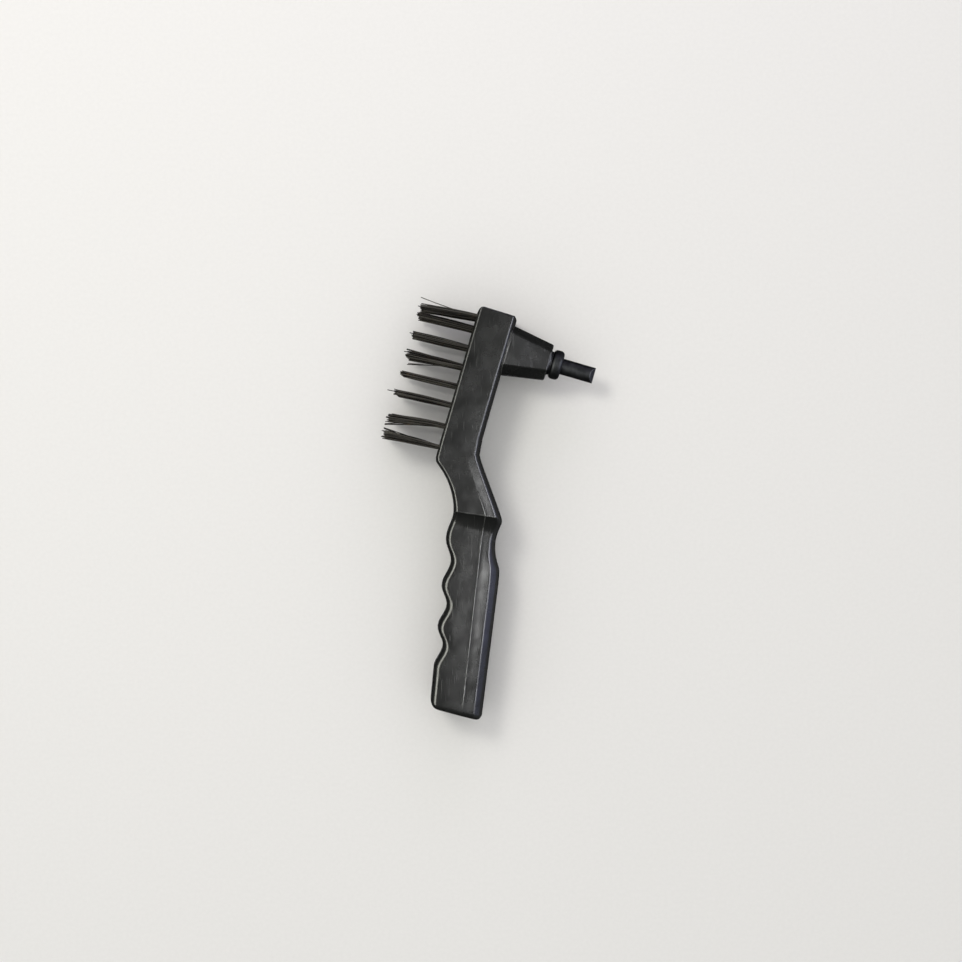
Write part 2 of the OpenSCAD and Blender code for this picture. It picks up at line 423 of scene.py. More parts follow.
def edge_radius(stations, ends):
    """Radius of an edge of the raised strip, from its ends' rows and columns."""
    last = len(stations) - 1
    last_column = len(COLUMNS) - 1
    (j_a, i_a), (j_b, i_b) = ends
    station = between(stations[j_a], stations[j_b], 0.5)
    chamfer_face = math.hypot(station.chamfer_w, station.chamfer_d)
    if i_a == i_b == 0:
        return station.edge_r
    if i_a == i_b == last_column - 1:
        return min(CRISP, CRISP_SHARE * chamfer_face)
    if i_a == i_b == last_column:
        return min(CHAMFER_FOOT, FOOT_SHARE * chamfer_face)
    if j_a == j_b and j_a in (0, last):
        return stations[j_a].edge_r
    return 0


def corner_radius(stations, place):
    """Radius of an upright edge, which is round only at the strip's four corners."""
    last = len(stations) - 1
    last_column = len(COLUMNS) - 1
    j, i = place
    if i not in (0, last_column) or j not in (0, last):
        return 0
    radius = BUTT_CORNER if j == 0 else TOP_CORNER
    if i == last_column:
        radius = min(radius, CORNER_SHARE * stations[j].chamfer_w)
    return radius


def weigh_edges(obj, stations, top_place):
    """Bevel weights: the radius of each edge as a share of the widest one."""
    weights = obj.data.attributes.new("bevel_weight_edge", "FLOAT", "EDGE")
    for edge in obj.data.edges:
        ends = [top_place[v] for v in edge.vertices if v in top_place]
        radius = 0
        if len(ends) == 2:
            radius = edge_radius(stations, ends)
        elif ends:
            radius = corner_radius(stations, ends[0])
        weights.data[edge.index].value = radius / WIDEST


def body():
    """Grip, guard, neck and head: a strip along the tool, raised, bevelled and mirrored."""
    stations = body_stations()
    across = len(COLUMNS)
    bpy.ops.mesh.primitive_grid_add(
        x_subdivisions=across - 1, y_subdivisions=len(stations) - 1, size=MM,
        location=(0, 0, mid_z * MM),
    )
    obj = start("handle_moulding")
    order = sorted(range(across * len(stations)), key=lambda i: (
        round(edit_vertex(obj, i).y / MM, 5), edit_vertex(obj, i).x))
    place = {index: divmod(rank, across) for rank, index in enumerate(order)}
    lay_out_strip(obj, stations, place)
    top_place = raise_strip(obj, place)
    shape_face(obj, stations, top_place)

    pick(obj, "faces", lambda f: all(v.co.z < ON_PLANE for v in f.verts))
    bpy.ops.mesh.delete(type="ONLY_FACE")
    bpy.ops.mesh.select_all(action="SELECT")
    bpy.ops.mesh.normals_make_consistent(inside=False)
    bpy.ops.object.mode_set(mode="OBJECT")
    weigh_edges(obj, stations, top_place)
    apply_modifier(
        obj, "BEVEL", width=WIDEST * MM, segments=5, limit_method="WEIGHT",
        offset_type="OFFSET", use_clamp_overlap=False, profile=0.5)
    apply_modifier(
        obj, "MIRROR", use_axis=(False, False, True), use_clip=True, merge_threshold=ON_PLANE)
    settle(obj)
    return obj


# ------------------------------------------------------------- boss and pin
collar_low, collar_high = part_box("pin_collar")
lean = math.radians(HEAD_LEAN)
pin_axis = Vector((math.cos(lean), -math.sin(lean), 0))
down_head = Vector((-math.sin(lean), -math.cos(lean), 0))
boss_foot = (collar_low + collar_high) / 2 - pin_axis * (BOSS_L + (HUB_L + COLLAR_L) / 2) * MM
pin_turn = Matrix((Vector((0, 0, 1)), down_head, pin_axis)).transposed().to_euler()


def on_pin_axis(out):
    """Place and turn for a primitive: local +Z out along the pin, local +X up."""
    return {"location": boss_foot + pin_axis * out * MM, "rotation": pin_turn}


def boss():
    """Octagonal boss: a block with four facets, widened and deepened at its root."""
    stretch = BOSS_END_W / 2 * (1 - BOSS_FLAT) / BOSS_FACET
    bpy.ops.mesh.primitive_cube_add(
        size=MM, scale=(BOSS_END_W / stretch, BOSS_END_W, BOSS_L), **on_pin_axis(BOSS_L / 2))
    bpy.ops.object.transform_apply(location=False, rotation=False, scale=True)
    obj = start("boss")
    along = Vector((0, 0, 1))
    pick(obj, "edges", lambda e: run_along(e, along))
    bpy.ops.mesh.bevel(offset=BOSS_FACET * MM, segments=1, affect="EDGES", clamp_overlap=False)
    pick(obj, "verts", lambda v: True)
    bpy.ops.transform.resize(value=(1, 1, stretch), center_override=boss_middle_point())
    pick(obj, "verts", lambda v: v.co.z < 0)
    deepen = BOSS_ROOT_D / BOSS_END_W
    bpy.ops.transform.resize(value=(1, 1, deepen), center_override=boss_middle_point())
    widen = (BOSS_ROOT_W - BOSS_END_W) / 2 * MM
    for side in (1, -1):
        pick(obj, "verts", lambda v, side=side: v.co.z < 0 and v.co.y * side > 0)
        bpy.ops.transform.translate(value=down_head * widen * side)
    pick(obj, "faces", lambda f: f.normal.z < -0.9)
    bpy.ops.mesh.extrude_region_move(
        TRANSFORM_OT_translate={"value": -pin_axis * BOSS_ROOT * MM})
    tip = BOSS_L / 2 * MM
    pick(obj, "edges", lambda e: middle(e).z > -tip and (run_along(e, along) or middle(e).z > 0))
    bpy.ops.mesh.bevel(offset=BOSS_EDGE_R * MM, segments=3, affect="EDGES", clamp_overlap=False)
    bpy.ops.object.mode_set(mode="OBJECT")
    settle(obj)
    return obj


def boss_middle_point():
    return (boss_foot.x, boss_foot.y, mid_z * MM)


def pin_collar():
    """Turned bead with a narrower hub towards the boss."""
    bpy.ops.mesh.primitive_cylinder_add(
        vertices=64, radius=COLLAR_D / 2 * MM, depth=COLLAR_L * MM,
        **on_pin_axis(BOSS_L + HUB_L + COLLAR_L / 2))
    obj = start("collar_bead")
    half = COLLAR_L / 2 * MM
    # both rims, which become the bead's round
    pick(obj, "edges", lambda e: abs(middle(e).z) > half - ON_PLANE)
    bpy.ops.mesh.bevel(offset=BEAD_R * MM, segments=7, affect="EDGES", clamp_overlap=False)
    face_r = COLLAR_D / 2 - BEAD_R
    pick(obj, "faces", lambda f: f.normal.z > 0.99)
    bpy.ops.mesh.inset(thickness=(face_r - PIN_D / 2 - RIM) * MM)
    bpy.ops.transform.translate(value=-pin_axis * RIM * MM)
    # the hub flares to its full width against the boss
    pick(obj, "faces", lambda f: f.normal.z < -0.99)
    bpy.ops.mesh.extrude_region_move(
        TRANSFORM_OT_translate={"value": -pin_axis * HUB_L * MM})
    flare = HUB_D / 2 / face_r
    bpy.ops.transform.resize(
        value=(flare, flare, flare), center_override=boss_foot + pin_axis * BOSS_L * MM)
    bpy.ops.mesh.inset(thickness=(HUB_D / 2 - PIN_D / 2 - FIT_GAP) * MM)
    # the two round faces left in the middle are joined by the bore
    bore = PIN_D / 2 + 2 * RIM
    pick(obj, "faces", lambda f: abs(f.normal.z) > 0.99 and len(f.verts) > 8
         and f.calc_area() < math.pi * (bore * MM) ** 2)
    bpy.ops.mesh.bridge_edge_loops()
    bpy.ops.object.mode_set(mode="OBJECT")
    settle(obj)
    return obj


def hammer_pin():
    """Hardened rod with a blunt chisel edge across its end."""
    whole = PIN_IN + HUB_L + COLLAR_L + PIN_OUT
    bpy.ops.mesh.primitive_cylinder_add(
        vertices=64, radius=PIN_D / 2 * MM, depth=whole * MM,
        **on_pin_axis(BOSS_L - PIN_IN + whole / 2))
    obj = start("pin_rod")
    tip = boss_foot + pin_axis * (BOSS_L + whole - PIN_IN) * MM
    fall = (PIN_D - PIN_EDGE) / 2
    for side in (1, -1):
        edge = tip + Vector((0, 0, side * PIN_EDGE / 2 * MM))
        normal = (pin_axis * fall + Vector((0, 0, side * PIN_BEVEL_L))).normalized()
        bpy.ops.mesh.select_all(action="SELECT")
        bpy.ops.mesh.bisect(
            plane_co=edge, plane_no=normal, clear_outer=True, use_fill=True, threshold=ON_CUT)
    # the edges of the chisel end, without the facets of the round rod
    end = whole / 2 * MM
    pick(obj, "edges", lambda e: middle(e).z > end - (PIN_BEVEL_L + PIN_BEVEL_SPARE) * MM
         and not run_along(e, Vector((0, 0, 1))) and e.calc_face_angle(0) > SHARP_ANGLE)
    bpy.ops.mesh.bevel(offset=PIN_EDGE_R * MM, segments=2, affect="EDGES", clamp_overlap=True)
    bpy.ops.object.mode_set(mode="OBJECT")
    settle(obj)
    return obj


# ------------------------------------------------------------------- brush
def tuft_mouth(name):
    """Where a tuft leaves the head, from its CAD box."""
    low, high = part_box(name)
    r = HOLE_D / 2 - FIT_GAP
    foot = Vector((
        high.x - r * math.sin(lean) * MM, low.y + r * math.cos(lean) * MM,
        (low.z + high.z) / 2))
    return foot - pin_axis * (HOLE_DEPTH - FIT_GAP) * MM


def hole_cutter():
    """Every tuft's hole and the pin's bore, as one group of rods. A quarter of each
    tuft's rod stands outside the head, so a hole is three quarters of HOLE_DEPTH."""
    rods = []
    for station in range(1, len(TUFTS) + 1):
        for row in ROWS:
            mouth = tuft_mouth(f"tuft_{station}_{row}")
            if not rods:
                bpy.ops.mesh.primitive_cylinder_add(
                    vertices=20, radius=HOLE_D / 2 * MM, depth=HOLE_DEPTH * MM,
                    location=mouth + pin_axis * HOLE_DEPTH / 4 * MM, rotation=pin_turn)
                rods.append(bpy.context.object)
                continue
            rod = rods[0].copy()
            rod.data = rods[0].data.copy()
            rod.location = mouth + pin_axis * HOLE_DEPTH / 4 * MM
            bpy.context.collection.objects.link(rod)
            rods.append(rod)
    bpy.ops.mesh.primitive_cylinder_add(
        vertices=64, radius=(PIN_D / 2 + FIT_GAP) * MM, depth=(PIN_IN + BORE_SPARE) * MM,
        **on_pin_axis(BOSS_L - PIN_IN / 2 + BORE_SPARE / 2))
    rods.append(bpy.context.object)
    bpy.ops.object.select_all(action="DESELECT")
    for rod in rods:
        rod.select_set(True)
    bpy.context.view_layer.objects.active = rods[0]
    bpy.ops.object.join()
    cutter = bpy.context.object
    settle(cutter)
    return cutter


# One entry a station, from the top of the head: lean of the tuft down the
# head in degrees, spread of its cut ends and how unruly its wires are.
TUFTS = (
    (6.0, 1.25, 0.7),
    (2.5, 1.25, 0.6),
    (2.5, 1.35, 0.6),
    (3.5, 1.55, 0.8),
    (2.5, 1.05, 0.5),
    (3.5, 1.30, 0.8),
    (7.0, 1.60, 1.2),
    (3.5, 1.90, 1.2),
)
# Wires that stand off on their own: station, row, how many, how far down the
# head their ends reach and how much longer they are.
STRAYS = (
    (1, "upper", 1, -1.0, 1.0),
    (4, "middle", 2, 5.0, -1.0),
    (4, "upper", 3, -0.3, 0.4),
    (6, "upper", 1, 1.5, 3.2),
    (7, "upper", 5, 5.9, 0.4),
    (7, "middle", 3, 4.6, 0.0),
    (8, "upper", 5, -1.3, 0.2),
)


def wire_master():
    """One straight wire along +X with rings to bend at and a sheared end."""
    length = WIRE_OUT + WIRE_IN
    bpy.ops.mesh.primitive_cylinder_add(
        vertices=6, radius=WIRE_D / 2 * MM, depth=length * MM,
        location=((WIRE_OUT - WIRE_IN) / 2 * MM, 0, 0), rotation=(0, math.pi / 2, 0))
    bpy.ops.object.transform_apply(location=True, rotation=True, scale=True)
    obj = start("wire")
    for cut in WIRE_RINGS:
        bpy.ops.mesh.select_all(action="SELECT")
        bpy.ops.mesh.bisect(
            plane_co=(cut * WIRE_OUT * MM, 0, 0), plane_no=(1, 0, 0), threshold=ON_CUT)
    pick(obj, "verts", lambda v: v.co.x > (WIRE_OUT - 0.01) * MM and v.co.y > 0)
    bpy.ops.transform.translate(value=(-WIRE_D * SHEAR * MM, 0, 0))
    obj.data.materials.append(MATERIALS["wire"])
    obj.data.materials.append(MATERIALS["cut_end"])
    pick(obj, "faces", lambda f: f.normal.x > 0.6)
    obj.active_material_index = 1
    bpy.ops.object.material_slot_assign()
    bpy.ops.object.mode_set(mode="OBJECT")
    bpy.ops.object.shade_smooth_by_angle(angle=math.radians(WIRE_SMOOTH))
    return obj


def tuft_master():
    """A bundle of straight wires, every copy with its own mesh, joined in order."""
    wire = wire_master()
    wires = [wire]
    for _ in range(WIRES - 1):
        twin = wire.copy()
        twin.data = wire.data.copy()
        bpy.context.collection.objects.link(twin)
        wires.append(twin)
    bpy.ops.object.select_all(action="DESELECT")
    for twin in wires:
        twin.select_set(True)
    bpy.context.view_layer.objects.active = wire
    bpy.ops.object.join()
    return bpy.context.object


def tuft(master, station, row):
    """A copy of the bundle, each wire laid at its own place, lean, bow and length."""
    down_lean, spread, unruly = TUFTS[station - 1]
    seed = SEED * 100 + station * 10 + ROWS.index(row)
    chance = np.random.default_rng(seed)
    name = f"tuft_{station}_{row}"
    obj = master.copy()
    obj.data = master.data.copy()
    obj.name = f"wires_{station}_{row}"
    bpy.context.collection.objects.link(obj)

    count = len(obj.data.vertices)
    flat = np.empty(count * 3)
    obj.data.vertices.foreach_get("co", flat)
    wires = flat.reshape(WIRES, -1, 3) / MM
    rank = np.arange(WIRES)
    reach = (HOLE_D / 2 - WIRE_D / 2) * np.sqrt((rank + 0.5) / WIRES)
    turn = rank * math.radians(SEED_TURN) + chance.uniform(0, 2 * math.pi)
    root = np.stack([reach * np.cos(turn), reach * np.sin(turn)], 1)
    tip = root * spread + chance.normal(0, TIP_JITTER * unruly, (WIRES, 2))
    tip[:, 0] += WIRE_OUT * slope(down_lean)
    bow = chance.normal(0, BOW_JITTER * unruly, (WIRES, 2))
    longer = chance.normal(0, LENGTH_JITTER, WIRES) - FALL_BACK * chance.exponential(1.0, WIRES)
    first = 0
    for at, line, many, aim, extra in STRAYS:
        if (at, line) != (station, row):
            continue
        strays = slice(first, first + many)
        tip[strays, 0] = aim + chance.normal(0, STRAY_AIM_JITTER, many)
        longer[strays] = extra + chance.normal(0, STRAY_LENGTH_JITTER, many)
        first += many

    out = np.clip(wires[:, :, 0] / WIRE_OUT, 0, None)
    for axis in (0, 1):
        start_at = root[:, axis, None]
        wires[:, :, axis + 1] += (
            start_at + (tip[:, axis, None] - start_at) * out ** BEND_POWER
            + bow[:, axis, None] * np.sin(np.pi * np.clip(out, 0, 1)))
    wires[:, :, 0] += longer[:, None] * out
    across = np.array([list(-pin_axis), list(down_head), [0, 0, 1]])
    placed = wires.reshape(-1, 3) @ across * MM + np.array(tuft_mouth(name))
    obj.data.vertices.foreach_set("co", placed.ravel())
    shade = obj.data.attributes.new("shade", "FLOAT", "POINT")
    shade.data.foreach_set("value", np.repeat(chance.uniform(0, 1, WIRES), count // WIRES))
    obj.data.update()
    return obj


# --------------------------------------------------------------- materials
# Agreement of the rounded and true normals below which an edge is fully paled: rubbed wear, and
# on the plastic also a painted highlight
EDGE_FULL_BELOW = 0.9


def linear(hex_code):
    """Linear colour of an sRGB hex value."""
    shares = [int(hex_code[i:i + 2], 16) / 255 for i in (1, 3, 5)]
    return [s / 12.92 if s <= 0.04045 else ((s + 0.055) / 1.055) ** 2.4 for s in shares] + [1]


def add(tree, kind, inputs=None, **settings):
    """Adds a node, sets its properties and inputs, and links inputs given as sockets."""
    node = tree.nodes.new(kind)
    for key, value in settings.items():
        setattr(node, key, value)
    for key, value in (inputs or {}).items():
        if isinstance(value, bpy.types.NodeSocket):
            tree.links.new(value, node.inputs[key])
        else:
            node.inputs[key].default_value = value
    return node


def per_metre(millimetres):
    """Texture scale for a pattern whose features are this many millimetres across."""
    return 1 / (millimetres * MM)


def new_material(name):
    material = bpy.data.materials.new(name)
    material.use_nodes = True
    tree = material.node_tree
    tree.nodes.clear()
    return material, tree


def finish_material(tree, inputs):
    shader = add(tree, "ShaderNodeBsdfPrincipled", inputs)
    add(tree, "ShaderNodeOutputMaterial", {"Surface": shader.outputs["BSDF"]})


def edge_wear_and_highlight(tree, width, flat_above, most):
    """How far each point is paled, up to most: full on an edge, where a normal
    rounded over this many millimetres leaves the true one, and none on a flat.
    On the pin this is rubbed wear; on the plastic it is part wear and part painted highlight."""
    rounded = add(tree, "ShaderNodeBevel", {"Radius": width * MM}, samples=4)
    true_normal = add(tree, "ShaderNodeNewGeometry")
    agree = add(tree, "ShaderNodeVectorMath", {
        0: rounded.outputs["Normal"], 1: true_normal.outputs["Normal"]}, operation="DOT_PRODUCT")
    edge = add(tree, "ShaderNodeMapRange", {
        "Value": agree.outputs["Value"], "From Min": flat_above, "From Max": EDGE_FULL_BELOW,
        "To Max": most})
    return edge.outputs["Result"]


def moulded_polypropylene():
    """Black polypropylene, injection moulded in a fine spark-eroded cavity: a deep
    satin black, a little cloudy where the melt cooled, rubbed smoother and paler on
    its edges, the paleness part wear and part painted highlight, with short handling scratches."""
    material, tree = new_material("moulded_black_polypropylene")
    place = add(tree, "ShaderNodeTexCoord").outputs["Object"]
    cloud = add(tree, "ShaderNodeTexNoise", {
        "Vector": place, "Scale": per_metre(14), "Detail": 4.0, "Roughness": 0.6})
    tone = add(tree, "ShaderNodeValToRGB", {"Fac": cloud.outputs["Fac"]})
    tone.color_ramp.elements[0].position = 0.3
    tone.color_ramp.elements[0].color = linear("#161716")
    tone.color_ramp.elements[1].position = 0.72
    tone.color_ramp.elements[1].color = linear("#20211f")

    # scratches: long thin noise, two directions, cut down to a few hairlines
    hairlines = []
    for turn, width in ((0.35, 0.35), (-1.1, 0.3)):
        turned = add(tree, "ShaderNodeMapping", {
            "Vector": place, "Rotation": (0.2, 0.1, turn),
            "Scale": (per_metre(width), per_metre(9), per_metre(6))})
        lines = add(tree, "ShaderNodeTexNoise", {
            "Vector": turned.outputs["Vector"], "Scale": 1.0, "Detail": 1.0})
        hairlines.append(add(tree, "ShaderNodeMapRange", {
            "Value": lines.outputs["Fac"], "From Min": 0.71, "From Max": 0.76}).outputs["Result"])
    scratched = add(tree, "ShaderNodeMath", {0: hairlines[0], 1: hairlines[1]},
                    operation="MAXIMUM")

    # edge mask: rubbed smoother, and painted pale as part wear, part painted highlight along
    # every convex edge
    edge = edge_wear_and_highlight(tree, width=0.7, flat_above=0.992, most=0.7)
    patch = add(tree, "ShaderNodeTexNoise", {
        "Vector": place, "Scale": per_metre(5), "Detail": 3.0})
    patchy = add(tree, "ShaderNodeMapRange", {
        "Value": patch.outputs["Fac"], "From Min": 0.38, "From Max": 0.62})
    worn_and_lit = add(tree, "ShaderNodeMath", {
        0: edge, 1: patchy.outputs["Result"]}, operation="MULTIPLY")
    pale = add(tree, "ShaderNodeMath", {
        0: scratched.outputs["Value"], 1: 0.06}, operation="MULTIPLY")
    paler = add(tree, "ShaderNodeMath", {
        0: pale.outputs["Value"], 1: worn_and_lit.outputs["Value"]}, operation="MAXIMUM")
    # pale colour for the scratches, and on the edges for wear plus a painted highlight
    colour = add(tree, "ShaderNodeMix", {
        "Factor": paler.outputs["Value"], "A": tone.outputs["Color"],
        "B": linear("#8e8f8b")}, data_type="RGBA")

    sheen = add(tree, "ShaderNodeTexNoise", {
        "Vector": place, "Scale": per_metre(9), "Detail": 4.0, "Roughness": 0.55})
    rough = add(tree, "ShaderNodeMapRange", {
        "Value": sheen.outputs["Fac"], "From Min": 0.3, "From Max": 0.7,
        "To Min": 0.19, "To Max": 0.31})
    smoother = add(tree, "ShaderNodeMath", {
        0: worn_and_lit.outputs["Value"], 1: -0.08, 2: rough.outputs["Result"]},
        operation="MULTIPLY_ADD")

    # eroded grain, drawn at 0.6 mm so that it shows, over broad sink marks
    grain = add(tree, "ShaderNodeTexNoise", {
        "Vector": place, "Scale": per_metre(0.6), "Detail": 2.0})
    sink = add(tree, "ShaderNodeTexNoise", {
        "Vector": place, "Scale": per_metre(13), "Detail": 2.0})
    fine = add(tree, "ShaderNodeBump", {
        "Height": grain.outputs["Fac"], "Strength": 0.06, "Distance": 0.04 * MM})
    cut = add(tree, "ShaderNodeBump", {
        "Height": scratched.outputs["Value"], "Strength": 0.3, "Distance": 0.04 * MM,
        "Normal": fine.outputs["Normal"]}, invert=True)
    broad = add(tree, "ShaderNodeBump", {
        "Height": sink.outputs["Fac"], "Strength": 0.6, "Distance": 0.45 * MM,
        "Normal": cut.outputs["Normal"]})
    finish_material(tree, {
        "Base Color": colour.outputs["Result"], "Roughness": smoother.outputs["Value"],
        "Normal": broad.outputs["Normal"], "IOR": 1.49})
    return material


def black_oxide_steel():
    """Hardened steel with a hot black-oxide finish: near black with a blue cast,
    turned marks round it, and the oxide rubbed thin in patches."""
    material, tree = new_material("black_oxide_steel")
    place = add(tree, "ShaderNodeTexCoord").outputs["Object"]
    oxide = add(tree, "ShaderNodeTexNoise", {
        "Vector": place, "Scale": per_metre(3), "Detail": 5.0, "Roughness": 0.6})
    tone = add(tree, "ShaderNodeValToRGB", {"Fac": oxide.outputs["Fac"]})
    tone.color_ramp.elements[0].position = 0.35
    tone.color_ramp.elements[0].color = linear("#2a2b2c")
    tone.color_ramp.elements[1].position = 0.7
    tone.color_ramp.elements[1].color = linear("#3f4042")
    edge = edge_wear_and_highlight(tree, width=0.35, flat_above=0.995, most=1.0)
    colour = add(tree, "ShaderNodeMix", {
        "Factor": edge, "A": tone.outputs["Color"],
        "B": linear("#85868a")}, data_type="RGBA")
    rough = add(tree, "ShaderNodeMapRange", {
        "Value": oxide.outputs["Fac"], "To Min": 0.42, "To Max": 0.58})
    # turning marks: rings round the pin, drawn about 3 mm apart so that they show;
    # a wave texture has about three bands in each unit of its scale
    along = add(tree, "ShaderNodeMapping", {
        "Vector": place, "Rotation": (0, 0, math.radians(HEAD_LEAN))})
    rings = add(tree, "ShaderNodeTexWave", {
        "Vector": along.outputs["Vector"], "Scale": per_metre(10), "Distortion": 1.5,
        "Detail": 2.0}, bands_direction="X")
    marks = add(tree, "ShaderNodeBump", {
        "Height": rings.outputs["Fac"], "Strength": 0.15, "Distance": 0.03 * MM})
    finish_material(tree, {
        "Base Color": colour.outputs["Result"], "Metallic": 1.0,
        "Roughness": rough.outputs["Result"], "Normal": marks.outputs["Normal"]})
    return material


def oxidised_spring_wire():
    """Hard-drawn spring steel wire, dark from its heat treatment and oil: strands
    differ in shade, with drawing lines along them and brown specks of rust."""
    material, tree = new_material("oxidised_spring_wire")
    place = add(tree, "ShaderNodeTexCoord").outputs["Object"]
    shade = add(tree, "ShaderNodeAttribute", attribute_name="shade")
    tone = add(tree, "ShaderNodeValToRGB", {"Fac": shade.outputs["Fac"]})
    tone.color_ramp.elements[0].position = 0.25
    tone.color_ramp.elements[0].color = linear("#211f1e")
    tone.color_ramp.elements[1].position = 1.0
    tone.color_ramp.elements[1].color = linear("#67655f")
    specks = add(tree, "ShaderNodeTexNoise", {
        "Vector": place, "Scale": per_metre(1.6), "Detail": 4.0, "Roughness": 0.7})
    rusty = add(tree, "ShaderNodeMapRange", {
        "Value": specks.outputs["Fac"], "From Min": 0.6, "From Max": 0.74, "To Max": 0.7})
    colour = add(tree, "ShaderNodeMix", {
        "Factor": rusty.outputs["Result"], "A": tone.outputs["Color"],
        "B": linear("#5f4a30")}, data_type="RGBA")
    rough = add(tree, "ShaderNodeMapRange", {
        "Value": specks.outputs["Fac"], "To Min": 0.28, "To Max": 0.55})
    drawn = add(tree, "ShaderNodeMapping", {
        "Vector": place, "Rotation": (0, 0, math.radians(HEAD_LEAN)),
        "Scale": (per_metre(4), per_metre(0.1), per_metre(0.1))})
    lines = add(tree, "ShaderNodeTexNoise", {
        "Vector": drawn.outputs["Vector"], "Scale": 1.0, "Detail": 1.0})
    marks = add(tree, "ShaderNodeBump", {
        "Height": lines.outputs["Fac"], "Strength": 0.2, "Distance": 0.02 * MM})
    finish_material(tree, {
        "Base Color": colour.outputs["Result"], "Metallic": 1.0,
        "Roughness": rough.outputs["Result"], "Normal": marks.outputs["Normal"]})
    return material


def sheared_wire_end():
    """Fresh steel where the wires were clipped level: paler and rougher."""
    material, tree = new_material("sheared_wire_end")
    place = add(tree, "ShaderNodeTexCoord").outputs["Object"]
    tear = add(tree, "ShaderNodeTexNoise", {
        "Vector": place, "Scale": per_metre(0.15), "Detail": 2.0})
    tone = add(tree, "ShaderNodeValToRGB", {"Fac": tear.outputs["Fac"]})
    tone.color_ramp.elements[0].color = linear("#6f706e")
    tone.color_ramp.elements[1].color = linear("#a6a7a4")
    rough = add(tree, "ShaderNodeMapRange", {
        "Value": tear.outputs["Fac"], "To Min": 0.4, "To Max": 0.65})
    torn = add(tree, "ShaderNodeBump", {
        "Height": tear.outputs["Fac"], "Strength": 0.4, "Distance": 0.03 * MM})
    finish_material(tree, {
        "Base Color": tone.outputs["Color"], "Metallic": 1.0,
        "Roughness": rough.outputs["Result"], "Normal": torn.outputs["Normal"]})
    return material


def galvanised_staple_wire():
    """Flattened steel wire with a bright zinc coat, faintly clouded."""
    material, tree = new_material("galvanised_staple_wire")
    place = add(tree, "ShaderNodeTexCoord").outputs["Object"]
    zinc = add(tree, "ShaderNodeTexNoise", {
        "Vector": place, "Scale": per_metre(0.8), "Detail": 3.0})
    tone = add(tree, "ShaderNodeValToRGB", {"Fac": zinc.outputs["Fac"]})
    tone.color_ramp.elements[0].color = linear("#8a8d92")
    tone.color_ramp.elements[1].color = linear("#b9bcc0")
    rough = add(tree, "ShaderNodeMapRange", {
        "Value": zinc.outputs["Fac"], "To Min": 0.25, "To Max": 0.45})
    skin = add(tree, "ShaderNodeBump", {
        "Height": zinc.outputs["Fac"], "Strength": 0.2, "Distance": 0.02 * MM})
    finish_material(tree, {
        "Base Color": tone.outputs["Color"], "Metallic": 1.0,
        "Roughness": rough.outputs["Result"], "Normal": skin.outputs["Normal"]})
    return material


def painted_floor():
    """Pale matt board with a barely visible tooth."""
    material, tree = new_material("pale_matt_board")
    place = add(tree, "ShaderNodeTexCoord").outputs["Object"]
    tooth = add(tree, "ShaderNodeTexNoise", {
        "Vector": place, "Scale": per_metre(1.5), "Detail": 3.0})
    tone = add(tree, "ShaderNodeValToRGB", {"Fac": tooth.outputs["Fac"]})
    tone.color_ramp.elements[0].color = linear("#e3e2df")
    tone.color_ramp.elements[1].color = linear("#e9e8e5")
    rough = add(tree, "ShaderNodeMapRange", {
        "Value": tooth.outputs["Fac"], "To Min": 0.75, "To Max": 0.85})
    finish_material(tree, {
        "Base Color": tone.outputs["Color"], "Roughness": rough.outputs["Result"],
        "Specular IOR Level": 0.0})
    return material


MATERIALS = {
    "plastic": moulded_polypropylene(),
    "pin": black_oxide_steel(),
    "wire": oxidised_spring_wire(),
    "cut_end": sheared_wire_end(),
    "staple": galvanised_staple_wire(),
}


def hand_over(obj, slot, *nodes):
    """The piece rides with the tool and stands for these CAD nodes."""
    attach(obj, "root")
    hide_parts(*nodes)


# ----------------------------------------------------------------- assembly
moulding = body()
block = boss()
cutter = hole_cutter()
apply_modifier(moulding, "BOOLEAN", operation="UNION", solver="EXACT", object=block)
apply_modifier(moulding, "BOOLEAN", operation="DIFFERENCE", solver="EXACT", object=cutter)
bpy.data.objects.remove(block)
bpy.data.objects.remove(cutter)
smooth(moulding, MOULDING_SMOOTH)
moulding.data.materials.append(MATERIALS["plastic"])
hand_over(moulding, "handle_plastic", "handle")

bead = pin_collar()
smooth(bead, COLLAR_SMOOTH)
bead.data.materials.append(MATERIALS["pin"])
hand_over(bead, "pin_steel", "pin_collar")

rod = hammer_pin()
smooth(rod, PIN_SMOOTH)
rod.data.materials.append(MATERIALS["pin"])
hand_over(rod, "pin_steel", "hammer_pin")

bundle = tuft_master()
for station in range(1, len(TUFTS) + 1):
    for row in ROWS:
        hand_over(tuft(bundle, station, row), "wire_steel", f"tuft_{station}_{row}")
bpy.data.objects.remove(bundle)
for name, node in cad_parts.items():
    if name.startswith("staple_"):
        node.data.materials.clear()
        node.data.materials.append(MATERIALS["staple"])


# ------------------------------------------------------------------- studio
FLOOR_W = 40.0  # metres
# The camera looks straight down from this height at a square of this width
CAMERA_HEIGHT = 620.0
FRAME_W = 384.8
FRAME_MIDDLE = (-4.0, 12.0)
SENSOR_W = 36.0
# Watts that make a square metre of light as bright as a white board
WATTS_PER_GLOW = 4


def soft_box(name, place, size, glow, colour, gloss_only=False):
    """A rectangle of light aimed at the middle of the tool; glow is its brightness
    beside a white board's. Its first size is its height and its second its level
    width. A gloss-only box shows in reflections and lights nothing else."""
    data = bpy.data.lights.new(name, "AREA")
    data.shape = "RECTANGLE"
    data.size, data.size_y = size
    data.energy = WATTS_PER_GLOW * size[0] * size[1] * glow
    data.color = linear(colour)[:3]
    light = bpy.data.objects.new(name, data)
    light.location = place
    light.rotation_euler = (-Vector(place)).to_track_quat("-Z", "X").to_euler()
    light.visible_camera = False
    light.visible_diffuse = not gloss_only
    bpy.context.scene.collection.objects.link(light)


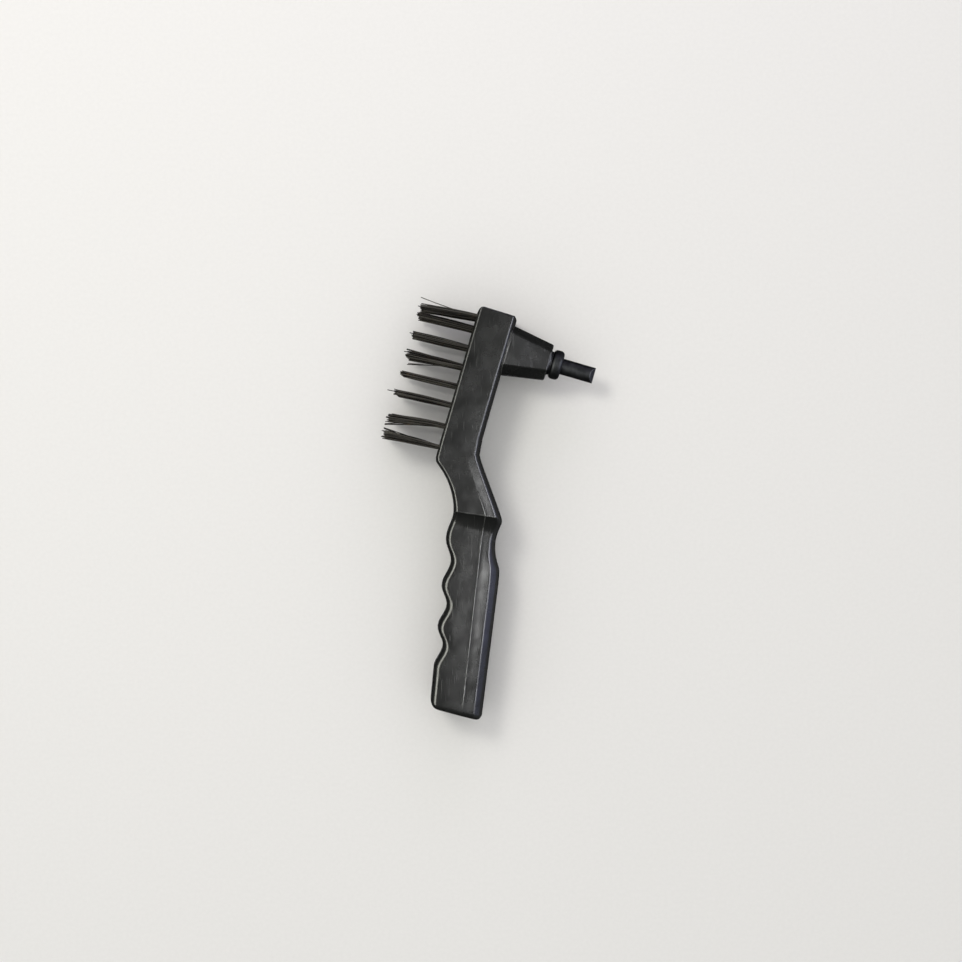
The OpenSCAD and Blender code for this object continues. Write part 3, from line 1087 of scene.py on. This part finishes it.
soft_box("key", (-0.42, 0.42, 0.8), (0.3, 0.3), 8.0, "#fffdf6")
soft_box("overhead", (0.15, -0.07, 0.85), (0.12, 0.28), 9.5, "#ffffff", gloss_only=True)
soft_box("left_strip", (-0.52, -0.03, 0.57), (0.34, 0.56), 8.5, "#fffff4", gloss_only=True)
soft_box("right_strip", (0.6, 0.03, 0.5), (0.26, 0.6), 8.5, "#f4f5ff", gloss_only=True)
soft_box("right_window", (0.85, 0.03, 0.14), (0.24, 0.7), 1.7, "#bcc3fa", gloss_only=True)
soft_box("head_fill", (0.1, 0.75, 0.3), (0.2, 0.6), 1.5, "#eadcff")


def studio_world():
    """Even pale room, plain where the camera sees it; what shows in reflections is
    dimmer, darkest low down and lighter towards the hammer side."""
    world = bpy.data.worlds.new("studio")
    world.use_nodes = True
    tree = world.node_tree
    tree.nodes.clear()
    toward = add(tree, "ShaderNodeTexCoord").outputs["Generated"]
    split = add(tree, "ShaderNodeSeparateXYZ", {"Vector": toward})
    high = add(tree, "ShaderNodeMapRange", {
        "Value": split.outputs["Z"], "From Min": 0.0, "From Max": 1.0,
        "To Min": 0.04, "To Max": 0.16}, interpolation_type="SMOOTHSTEP")
    hammer_side = add(tree, "ShaderNodeMapRange", {
        "Value": split.outputs["X"], "From Min": 0.4, "From Max": 1.0,
        "To Min": 0.0, "To Max": 0.28}, interpolation_type="SMOOTHSTEP")
    mirrored = add(tree, "ShaderNodeMath", {
        0: high.outputs["Result"], 1: hammer_side.outputs["Result"]}, operation="ADD")
    ray = add(tree, "ShaderNodeLightPath")
    strength = add(tree, "ShaderNodeMix", {
        "Factor": ray.outputs["Is Diffuse Ray"], "A": mirrored.outputs["Value"],
        "B": 0.85}, data_type="FLOAT")
    lit = add(tree, "ShaderNodeBackground", {
        "Color": linear("#fafafa"), "Strength": strength.outputs["Result"]})
    seen = add(tree, "ShaderNodeBackground", {"Color": linear("#dfdedc")})
    both = add(tree, "ShaderNodeMixShader", {
        0: ray.outputs["Is Camera Ray"], 1: lit.outputs[0], 2: seen.outputs[0]})
    add(tree, "ShaderNodeOutputWorld", {"Surface": both.outputs[0]})
    return world


bpy.context.scene.world = studio_world()

bpy.ops.mesh.primitive_plane_add(size=FLOOR_W, location=(0, 0, 0))
floor = bpy.context.object
floor.name = "floor"
floor.data.materials.append(painted_floor())
floor.visible_glossy = False

lens = bpy.data.cameras.new("camera")
lens.sensor_width = SENSOR_W
lens.lens = SENSOR_W * CAMERA_HEIGHT / FRAME_W
camera = bpy.data.objects.new("camera", lens)
camera.location = (
    FRAME_MIDDLE[0] * MM, FRAME_MIDDLE[1] * MM, (mid_z + CAMERA_HEIGHT) * MM)
bpy.context.scene.collection.objects.link(camera)
bpy.context.scene.camera = camera
bpy.context.scene.view_settings.view_transform = "Standard"
